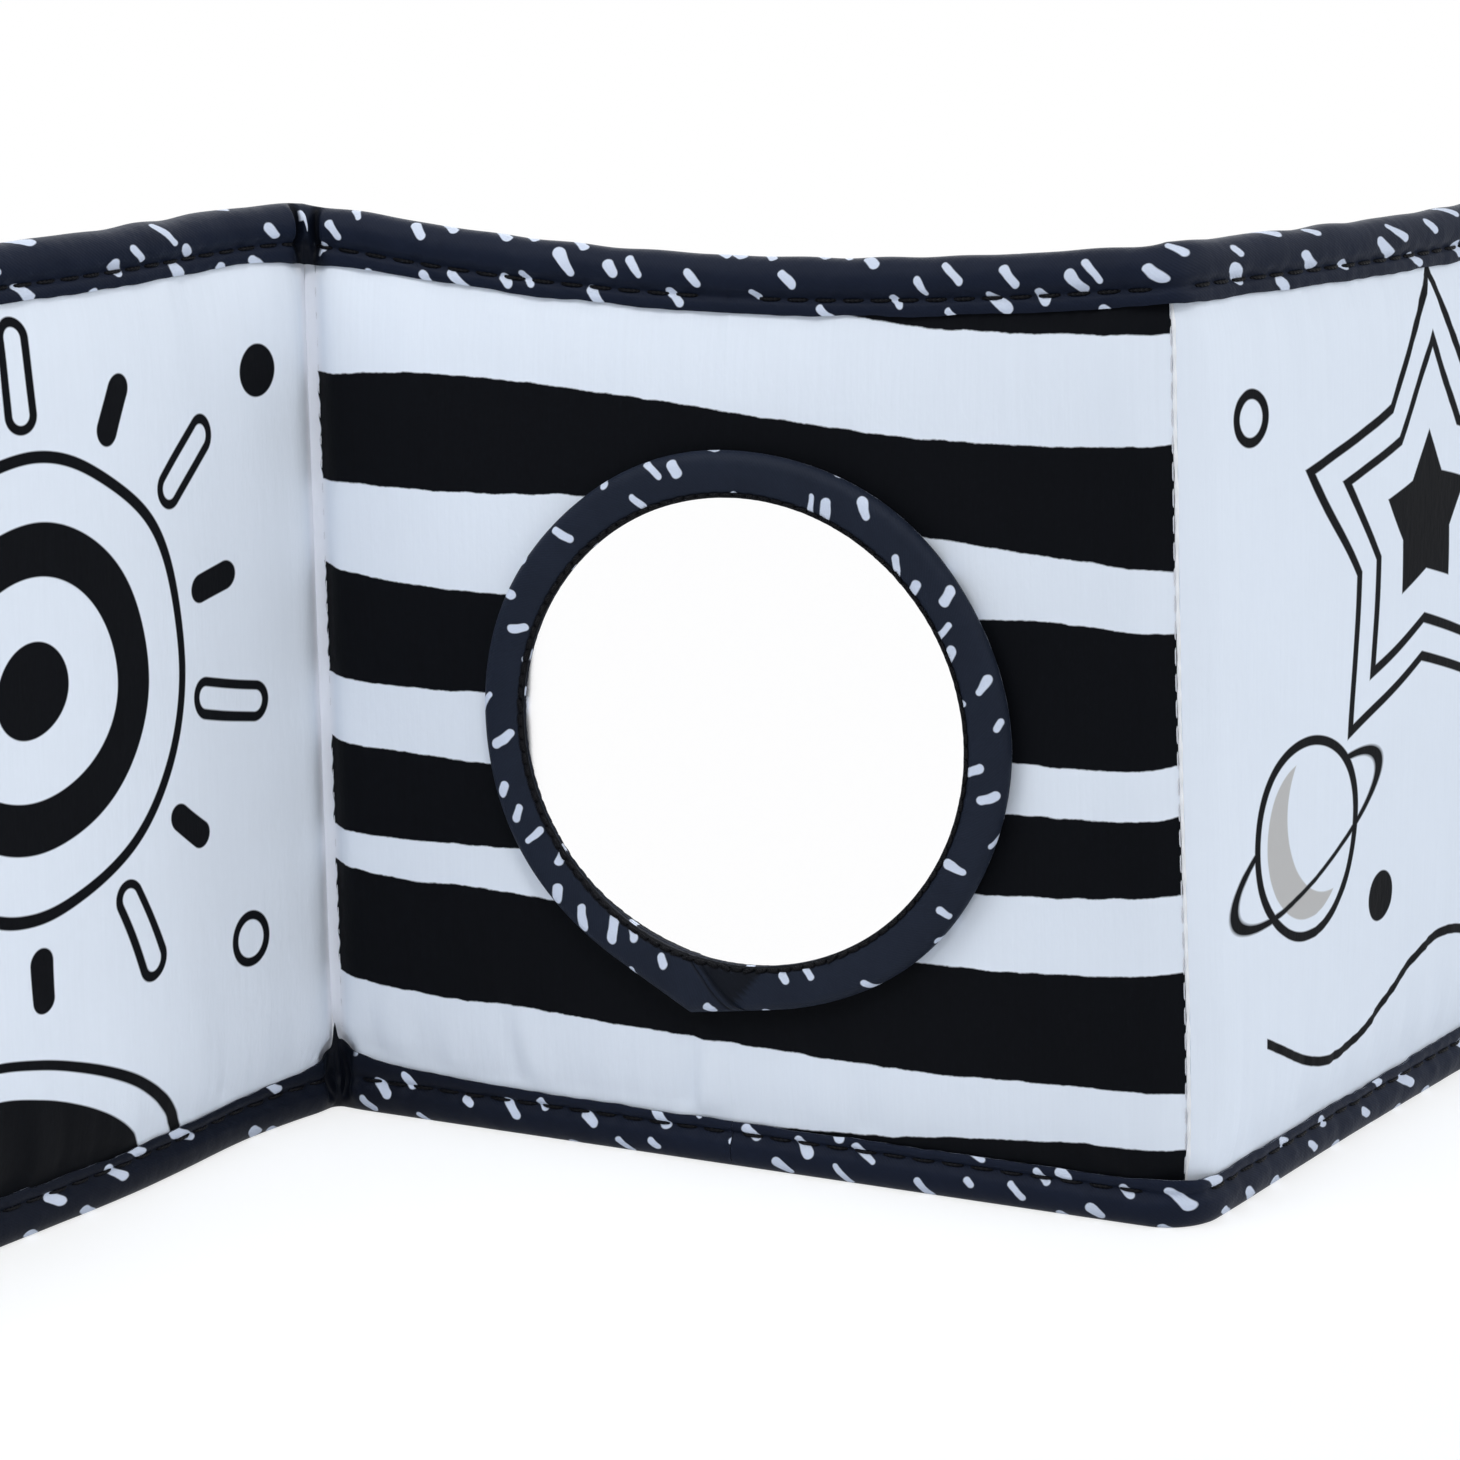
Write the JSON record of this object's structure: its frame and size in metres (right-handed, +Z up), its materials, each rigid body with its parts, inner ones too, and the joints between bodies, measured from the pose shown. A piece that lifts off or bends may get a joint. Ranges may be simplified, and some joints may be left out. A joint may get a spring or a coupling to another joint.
{
  "type": "padded cloth contrast book",
  "caption": "Fold-out padded cloth book for a baby that stands in a zigzag: bound soft pages with bold patterns, hinged at sewn folds, and a round safety mirror.",
  "frame": {"origin": "on the ground at the middle of the middle page's bottom edge, which is also the middle of the standing book's footprint", "axes": "+Z up the pages, +X along the middle page to the right as seen from its front, -Y the way the middle page and its mirror face"},
  "size_m": [0.2548, 0.3434, 0.1799],
  "materials": {
    "printed_cloth": "matt printed polyester cloth, black on white",
    "back_cloth": "matt printed polyester cloth, black on white",
    "foam": "soft open foam",
    "binding_tape": "fine twill, dark navy with small white dashes",
    "sewn_fold": "gathered cloth under a line of stitching",
    "mirror_film": "smooth mirrored film"
  },
  "bodies": {
    "middle_page": {"middle_front_cover": "printed_cloth", "middle_back_cover": "back_cloth", "middle_foam_pad": "foam", "middle_top_binding": "binding_tape", "middle_bottom_binding": "binding_tape", "left_fold_seam": "sewn_fold", "right_fold_seam": "sewn_fold", "mirror_sheet": "mirror_film", "mirror_backing": "foam", "mirror_rim_binding": "binding_tape"},
    "left_page": {"left_front_cover": "printed_cloth", "left_back_cover": "back_cloth", "left_foam_pad": "foam", "left_top_binding": "binding_tape", "left_bottom_binding": "binding_tape", "left_end_binding": "binding_tape"},
    "right_page": {"right_front_cover": "printed_cloth", "right_back_cover": "back_cloth", "right_foam_pad": "foam", "right_top_binding": "binding_tape", "right_bottom_binding": "binding_tape", "right_end_binding": "binding_tape"}
  },
  "joints": [
    {"name": "left_fold", "type": "hinge", "parent": "middle_page", "child": "left_page", "pos_m": [-0.088, 0, 0], "axis": [0, 0, 1], "range_deg": [-158, 78]},
    {"name": "right_fold", "type": "hinge", "parent": "middle_page", "child": "right_page", "pos_m": [0.088, 0, 0], "axis": [0, 0, 1], "range_deg": [-158, 78]}
  ]
}
